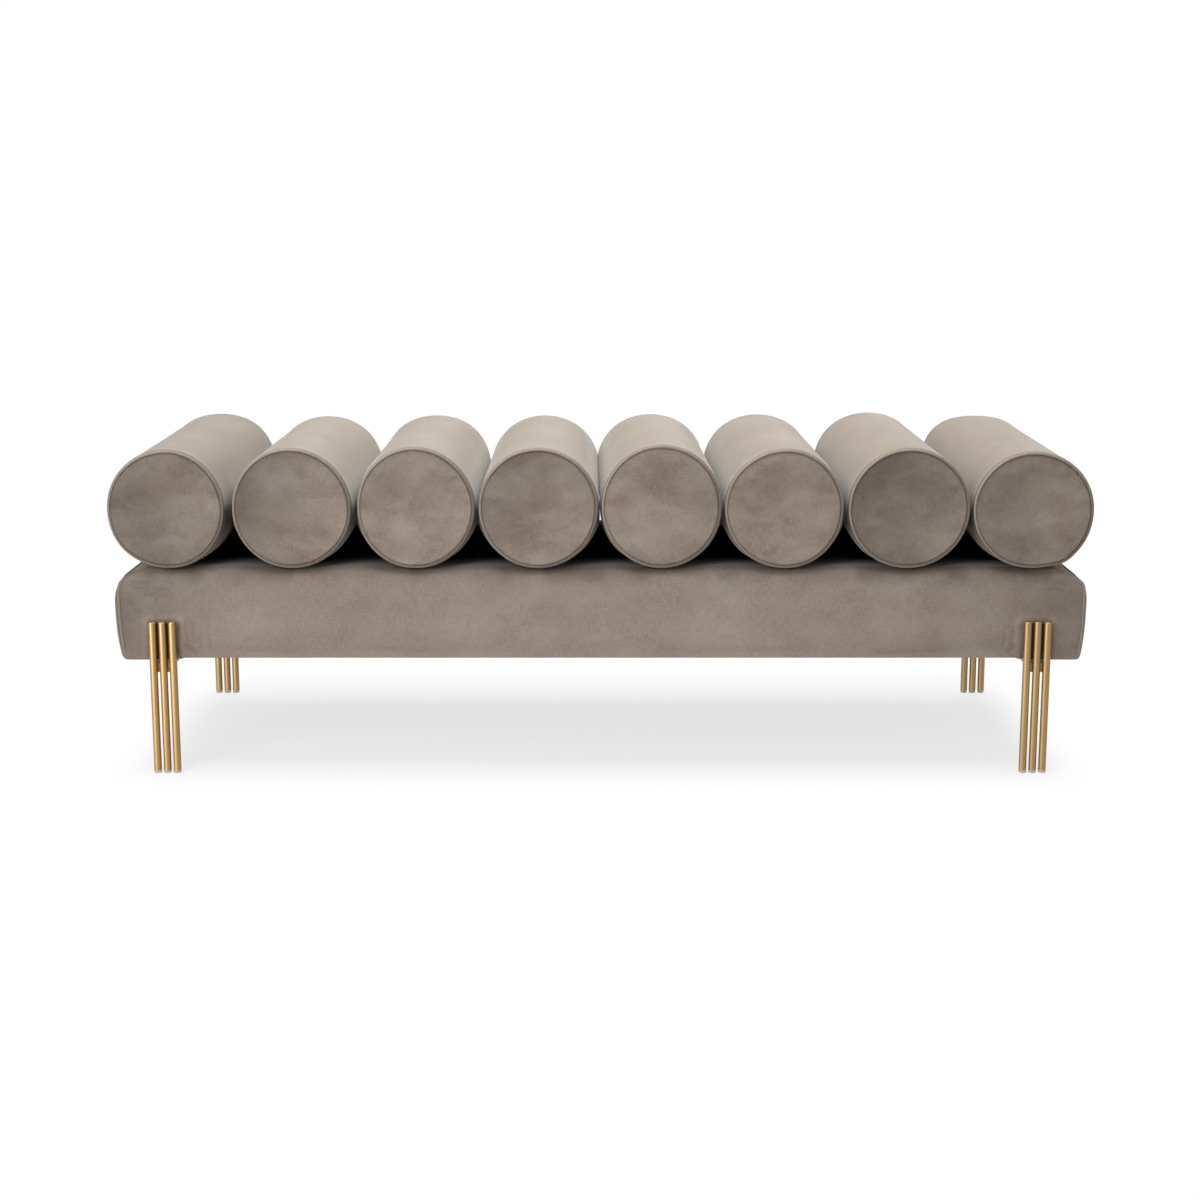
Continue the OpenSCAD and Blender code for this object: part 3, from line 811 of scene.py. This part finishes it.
def outline_normals(line):
    """For a line in a plane, the direction across it at each point, away from the middle."""
    along = np.roll(line, -1, axis=0) - np.roll(line, 1, axis=0)
    across = np.stack([along[:, 1], -along[:, 0]], axis=1)
    return across / np.linalg.norm(across, axis=1, keepdims=True)


piping = welt_jig()
piping_velvet = velvet("piping_velvet", on_cushion=False)
# How deep the piping lies in its seam, and how much deeper it is tucked away under the base.
welt_sunk = 0.3 * mm
welt_tuck = 1.6 * mm
lines, girths, tones = [], [], []
for seam in base_seams:
    loop = spots[seam].copy()
    across = outline_normals(loop[:, 1:])
    middle = loop[:, 1:].mean(axis=0)
    across *= np.sign((across * (loop[:, 1:] - middle)).sum(axis=1, keepdims=True))
    tucked = 1 - eased(base_low - 2 * mm, base_low + 14 * mm, loop[:, 2:])
    loop[:, 1:] += across * (seam_dip - welt_sunk - welt_tuck * tucked)
    lines.append(loop)
    girths.append(np.ones(len(loop)))
    tones.append(np.ones(len(loop)))
base_welts = piping_line("base_welts", lines, closed=True, girth=girths, tone=tones)
run_jig(piping, base_welts, {"Cord radius": welt_r, "Sides": 12, "Cloth": piping_velvet})
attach(base_welts, "root")
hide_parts("base_piping")


# The dust cloth: black spun fabric that closes the frame from below. It is held by a row of
# wire staples along each edge.
def spun_cloth():
    tree = new_finish("dust_cloth")
    where = tree.place()
    fibre = tree.noise(where, 900, 3, 0.7, 2)
    dots = tree.node("ShaderNodeTexVoronoi", {},
                     {"Vector": where, "Scale": 420, "Randomness": 0.15}, "Distance")
    cloth = tree.blend(fibre, paint(24, 24, 25), paint(52, 52, 54))
    relief = tree.relief(fibre + dots, 0.3 * mm, 0.5)
    return tree.surface(Base_Color=cloth, Roughness=0.85, Specular_IOR_Level=0.3, Normal=relief)


dress(spun_cloth(), "dust_cover")


def staple_jig():
    """The jig that sets staples along lines of points, each turned a little by hand."""
    jig, tree, given = new_jig("set_staples", "Staples", Spacing="Float", Staple="Vector", Metal="Material")
    line = tree.node("GeometryNodeMeshToCurve", {}, {"Mesh": given["Line"]})
    line = tree.node("GeometryNodeResampleCurve", {"mode": "LENGTH"},
                     {"Curve": line, "Length": given["Spacing"]})
    wire = tree.node("GeometryNodeMeshCube", {}, {"Size": given["Staple"]}, "Mesh")
    slip = tree.node("FunctionNodeRandomValue", {"data_type": "FLOAT_VECTOR"},
                     {"Min": (-0.12, -0.12, 0), "Max": (0.12, 0.12, 0), "Seed": 5}, "Value")
    along = tree.node("ShaderNodeVectorMath", {"operation": "ADD"},
                      {"Vector": tree.node("GeometryNodeInputTangent"), "Vector_001": slip})
    turn = tree.node("FunctionNodeAlignRotationToVector", {"axis": "X"}, {"Vector": along})
    row = tree.node("GeometryNodeInstanceOnPoints", {}, {"Points": line, "Instance": wire, "Rotation": turn})
    return close_jig(jig, tree, row, given["Metal"])


staple_edge = 8 * mm
staple_spacing = 47 * mm
staple_size = (10 * mm, 0.8 * mm, 0.5 * mm)
far = (dust_high.x - staple_edge, dust_high.y - staple_edge)
level = dust_low.z - staple_size[2] / 2
corner_spots = [(x * far[0], y * far[1], level) for x, y in once_round]
lines = list(zip(corner_spots, corner_spots[1:] + corner_spots[:1]))
staples = piping_line("staples", lines, closed=False)
run_jig(staple_jig(), staples, {"Spacing": staple_spacing, "Staple": staple_size, "Metal": zinc_plate})
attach(staples, "root")


# The bolsters: foam rolls in velvet covers, each a barrel with a round panel sewn in at both
# ends. They lie side by side on the base, press on each other and are bolted down from below.
bolster_count = 8
bolster_gap = 0.4 * mm
barrel_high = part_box("bolster_1_barrel")[1]
bolster_r = (pitch - bolster_gap) / 2
axis_z = barrel_high.z - bolster_r
half_length = 252 * mm
edge_r = 10 * mm
hub_r = bolster_r - edge_r
hub_y = half_length - edge_r
seam_turn = math.radians(50)
crown = 3.2 * mm
end_dip = 1.9 * mm
# The soft edge with its seam: degrees round the edge, and how deep it dips there, in millimetres.
seam_shape = [(76, 0.08), (67, 0.5), (58.5, 1.3), (50, 1.9), (41.5, 1.3), (33, 0.5), (24, 0.08),
              (12, 0), (0, 0)]
panel_rings = (60, 67, 73.5, 79, 83)
barrel_rings = (233, 222, 209, 194, 177, 158, 137, 115, 92, 69, 46, 23)
bolster_slack = 0.9 * mm
sides = 144
# How far a bolster bulges near its ends where it lies on the base, where it presses on its
# neighbours, and low on the last one's open side. The turns are angles from straight down, and
# the loose one presses less.
belly = 3.4 * mm
belly_turn = 0.85
squeeze = 3.8 * mm
squeeze_turn = 1.29
slump = 3.5 * mm
slump_turn = 0.55
loose_bolster = 5
# How uneven the filling is, how deep the gathers at the seam are, and how far from the near end
# a bolster is drawn in.
uneven = 0.7 * mm
gather_depth = 0.55 * mm
drawn_length = 70 * mm
# How each was put down, in millimetres: its far end's shift to the right, how far its far end
# and its near end stand up, how full its far shoulders are, and how far the left and the right
# edge of its near end are drawn in.
put_down = [
    (-1.8, -0.4, -4.6, 3.2, 1.8, 6.5), (-2.7, -5, -2, 1.3, 3.5, 0.5), (-1.8, -3.4, 0, 2.1, 5.7, 0.5),
    (-1.3, -3.7, -1.6, 1.2, 2, 1), (-6.8, -1.4, 3.5, 1.7, 1, 1.5), (-8.8, -1.7, -3, 2.2, 0, 4.5),
    (-4.3, 1.4, -1.8, 2.2, 0, 0), (-5.4, -4.2, -7, 7.5, 2.3, 0),
]
# How the pile of each near end lies: how light, and how much lighter to the right and downward.
near_pile = [
    (0.8, 0.15, -0.01), (0.87, 0.28, 0.13), (1.03, 0.14, 0.15), (0.9, 0.18, 0.2),
    (0.99, -0.03, 0.03), (1.03, 0, 0.13), (0.74, 0.21, 0.1), (0.84, 0.2, 0.08),
]


def end_rise(r):
    """How far out the end panel lies at radius r."""
    return half_length + crown * (1 - (r / hub_r) ** 2)


def bolster_profile():
    """Radius and place along the axis, from the inner part of one end panel to the other's."""
    profile = [(r * mm, end_rise(r * mm)) for r in panel_rings]
    seam = len(profile) + 3
    for degrees, dip in seam_shape:
        turn = math.radians(degrees)
        reach = edge_r - dip * mm
        profile.append((hub_r + reach * math.cos(turn), hub_y + reach * math.sin(turn)))
    profile += [(bolster_r, y * mm) for y in barrel_rings]
    profile = [(r, -y) for r, y in profile] + [(bolster_r, 0)] + [(r, y) for r, y in profile[::-1]]
    return np.array(profile), seam


def middle_x(number):
    """Where the axis of a bolster belongs."""
    return (number - (bolster_count + 1) / 2) * pitch


def axis_x(number, y):
    """Where the axis of a bolster runs, at places y along it."""
    share = np.clip(y / half_length / 2 + 0.5, 0, 1)
    return middle_x(number) + put_down[number - 1][0] * mm * share


def in_shade(aside, on_left, outer, inward):
    """How far a barrel's cloth is painted dark as shade: aside is the angle from straight down,
    inward the distance from its end. The light comes from the left, so a left flank lies
    longer in its neighbour's shade."""
    level = aside - math.pi / 2
    over = np.maximum(level, 0)
    above = np.where(on_left, 0.62 * np.exp(-over / 0.3), 0.42 * np.exp(-over / 0.15))
    at_end = 0.4 + 0.3 * eased(0.9, 1.5, aside)
    below = at_end + (deep_shade - at_end) * eased(15 * mm, 80 * mm, inward)
    within = below + (above - below) * eased(-0.1, 0.1, level)
    open_side = 0.9 * (1 - eased(0.3, 0.7, aside)) * eased(0, 14 * mm, inward)
    return np.where(outer, open_side, within)


def lie_down(made, number):
    """Gives the filled cover its unevenness, by a fixed seed, and presses it on what it touches."""
    rng = np.random.default_rng(40 + number)
    rise, near_rise, full, left_draw, right_draw = put_down[number - 1][1:]
    light, to_right, to_foot = near_pile[number - 1]
    spots = points_of(made.data)
    x, y, z = spots.T
    middle = middle_x(number)
    across, along, up = (spots - [middle, 0, axis_z]).T
    angle = np.arctan2(across, -up)
    aside = np.abs(angle)
    radius = np.hypot(across, up)
    outward = np.stack([np.sin(angle), np.zeros(len(angle)), -np.cos(angle)], axis=1)
    share = np.clip(along / half_length / 2 + 0.5, 0, 1)
    waves = sum(np.cos(f * angle + rng.uniform(0, 6.3) + np.sin(along * rng.uniform(4, 12)))
                * np.cos(along * rng.uniform(5, 22) + rng.uniform(0, 6.3)) for f in (1, 2, 3, 5)) / 4
    shoulder = full * mm * np.sin(2 * angle) ** 2 * share ** 1.5 * (aside > math.pi / 2)
    outer = (np.sign(angle) == np.sign(middle)) & (number in (1, bolster_count))
    sag = hump(belly_turn, 0.45, aside) * max(0, -near_rise) * 0.4 * mm
    sag += slump * hump(slump_turn, 0.22, aside) * (number == bolster_count)
    sag *= outer * (1 - share)
    inward = hub_y - np.abs(along)
    pressed = belly * hump(belly_turn, 0.35, aside)
    pressed += squeeze * hump(squeeze_turn, 0.22, aside) * (1 - 0.55 * (number == loose_bolster))
    near_ends = eased(0, 18 * mm, inward) * (1 - eased(60 * mm, 160 * mm, inward))
    bulge = uneven * waves + shoulder + sag + pressed * near_ends * ~outer
    spots += outward * (bulge * eased(40 * mm, 90 * mm, radius))[:, None]
    from_seam = np.hypot(radius - hub_r - 5.2 * mm, -inward - 6.2 * mm)
    gathers = sum(np.cos(f * angle + rng.uniform(0, 6.3)) for f in (31, 43, 57, 71)) / 4
    gathers *= 0.5 + 0.5 * np.cos(3 * angle + rng.uniform(0, 6.3))
    pull = gather_depth * gathers * np.exp(-from_seam / (8 * mm)) * (1 - np.exp(-from_seam / (1.5 * mm)))
    spots += normals_of(made.data) * pull[:, None]
    rise = near_rise + (rise - near_rise) * share
    z += rise * mm * np.clip((z - base_high) / (2 * bolster_r), 0, 1)
    drawn = np.clip(1 - (along + hub_y) / drawn_length, 0, 1) ** 1.2
    to_side = (x - middle) / bolster_r
    draw = (left_draw + right_draw) / 2 + (right_draw - left_draw) / 2 * to_side
    own = axis_x(number, y)
    x += own - middle - to_side * draw * mm * drawn
    for side in (-1, 1):
        reach = bolster_r + 1 * mm
        if 1 <= number + side <= bolster_count:
            reach = np.abs(axis_x(number + side, y) - own) / 2 - 0.05 * mm
        x[:] = np.where((x - own) * side > reach, own + side * reach, x)
    z[:] = np.maximum(z, base_high)
    place_points(made.data, spots)

    on_end = eased(-0.08, 0.08, np.arctan2(-inward, radius - hub_r) - seam_turn)
    # Painted light: each barrel's side toward the nearer end of the row is lighter, its other side darker.
    brushing_and_side_light = 0.14 * np.sin(angle) * np.clip(middle / 0.5, -1, 1) * eased(40 * mm, 90 * mm, radius)
    pile = light + (to_right * across - to_foot * up) / bolster_r
    tone = 1 + (pile - 1) * on_end + brushing_and_side_light * (1 - on_end)
    # Painted shade: the first barrel's upper flanks and top are darker.
    tone -= 0.12 * (number == 1) * (1 - on_end) * (aside > 1)
    # Painted shade in the groove beside each end seam, deepest to the lower right, away from the light.
    turned_away = np.clip(0.45 + 0.8 * np.sin(angle + 0.35), 0, 1.3)
    tone *= 1 - 0.4 * turned_away * hump(2.2 * mm, 1.3 * mm, from_seam)
    # Painted shade under each barrel and on its flanks where it presses on its neighbours.
    shaded = in_shade(aside, angle < 0, outer, inward) * (1 - on_end)
    keep_numbers(made, tone=tone, shaded=shaded, stroked=0.35 + 0.7 * on_end)
    return spots


def bolster(number):
    """One bolster as a closed cover, filled, and the points of its two end seams."""
    profile, seam = bolster_profile()
    middle = middle_x(number)
    turns = 2 * math.pi * np.arange(sides) / sides
    travel = np.concatenate([[0], np.cumsum(np.linalg.norm(np.diff(profile, axis=0), axis=1))])
    last = len(profile) - 1
    shift = 0.9 * number
    loops = []
    for r, y in profile:
        r = r - bolster_slack * (abs(y) < hub_y)
        loops.append(np.column_stack([middle + r * np.sin(turns), np.full(sides, y),
                                      axis_z - r * np.cos(turns)]))

    def crowned(spots, end):
        spots[:, 1] = end * end_rise(np.hypot(spots[:, 0] - middle, spots[:, 2] - axis_z))
        return spots

    def end_places(spots, end):
        return np.stack([shift + spots[..., 0] - middle + 0.4 * end, spots[..., 2] - axis_z + 5], axis=-1)

    places = sleeve_places(travel, shift + bolster_r * 2 * math.pi * np.arange(sides + 1) / sides)
    quads = np.concatenate(loops)[sleeve(len(loops), sides)]
    for end, rings in ((-1, slice(0, seam * sides)), (1, slice((last - seam) * sides, last * sides))):
        places[rings] = end_places(quads[rings], end)
    made = closed_cover(f"bolster_{number}", loops, sides * 7 // 8, sides // 4, sides // 4,
                        crowned, places, end_places)
    seams = [ring * sides + k for ring in (seam, last - seam) for k in range(sides)]
    settle(made, seams, 1.6 * mm)
    finer(made)
    spots = lie_down(made, number)
    return made, [spots[ring * sides:(ring + 1) * sides] for ring in (seam, last - seam)]


lines, girths, tones = [], [], []
for number in range(1, bolster_count + 1):
    made, rims = bolster(number)
    made.data.materials.append(cushion_velvet)
    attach(made, "root")
    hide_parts(*(f"bolster_{number}_{part}" for part in ("barrel", "end_discs", "core")))
    for rim in rims:
        away = rim - rim.mean(axis=0)
        away = away / np.hypot(away[:, 0], away[:, 2])[:, None] * math.cos(seam_turn)
        away[:, 1] = np.sign(rim[:, 1]) * math.sin(seam_turn)
        line = rim + away * (end_dip - 0.1 * mm)
        line[:, 2] = np.maximum(line[:, 2], base_high + welt_r)
        lines.append(line)
        turn = np.arange(sides) * 2 * math.pi / sides
        girths.append(1 + 0.2 * hump(0, 0.04, np.minimum(turn, 2 * math.pi - turn)))
        # Painted light and shade on the cord: lighter toward the upper left, darker toward the lower right.
        tones.append(0.9 - 0.24 * np.sin(turn) - 0.22 * np.cos(turn))

# The piping of the bolsters: a cord in a strip of the same velvet, sewn in as a ring round each
# end panel. Its ends overlap at the bottom, where it is a little thicker.
bolster_welts = piping_line("bolster_welts", lines, closed=True, girth=girths, tone=tones)
run_jig(piping, bolster_welts, {"Cord radius": welt_r, "Sides": 10, "Cloth": piping_velvet})
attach(bolster_welts, "root")
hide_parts(*(f"bolster_{number}_piping" for number in range(1, bolster_count + 1)))


# The legs: three brass plated tubes each, welded to a cross bar and to a black steel bracket
# that is bolted up into the corner block. Clear plastic glides are pressed into the feet.
def brass():
    tree = new_finish("satin_brass")
    where = tree.place()
    brushing_and_side_light = tree.noise(where, (900, 900, 14), 3, 0.6)
    cloud = tree.noise(where, 24, 2)
    metal = tree.blend(cloud * 0.6 + brushing_and_side_light * 0.4, paint(134, 103, 43), paint(153, 118, 54))
    turned = tree.noise(where, (8, 8, 2400), 1)
    lines = tree.relief(turned, 0.15 * mm, 0.2)
    return tree.surface(
        Base_Color=metal, Metallic=1.0, Roughness=brushing_and_side_light * 0.12 + 0.5, Specular_Tint=paint(60, 34, 10),
        Coat_Weight=1.0, Coat_Roughness=0.26, Coat_IOR=1.8, Normal=lines)


def black_steel():
    """Black paint on the upright, bare grey steel on the plate under the base."""
    tree = new_finish("black_steel")
    where = tree.place()
    peel = tree.noise(where, 700, 2)
    painted = tree.band(tree.part(where, "Z"), base_low + 0.4 * mm, base_low + 1.2 * mm)
    coat = tree.blend(peel, paint(26, 26, 27), paint(44, 43, 42))
    coat = tree.blend(painted, paint(186, 180, 170), coat)
    relief = tree.relief(peel, 0.15 * mm, 0.3)
    return tree.surface(Base_Color=coat, Roughness=peel * 0.2 + 0.4, Normal=relief)


def clear_plastic():
    tree = new_finish("clear_grey")
    where = tree.place()
    cloud = tree.noise(where, 300, 2)
    colour = tree.blend(cloud, paint(196, 198, 198), paint(222, 223, 222))
    return tree.surface(Base_Color=colour, Roughness=cloud * 0.2 + 0.3, Transmission_Weight=0.35, IOR=1.49)


corners = ("front_left", "front_right", "back_left", "back_right")
dress(brass(), *(f"{corner}_leg" for corner in corners))
dress(black_steel(), *(f"{corner}_bracket" for corner in corners))
dress(clear_plastic(), "leg_glides")
dress(zinc_plate, "leg_bolts")
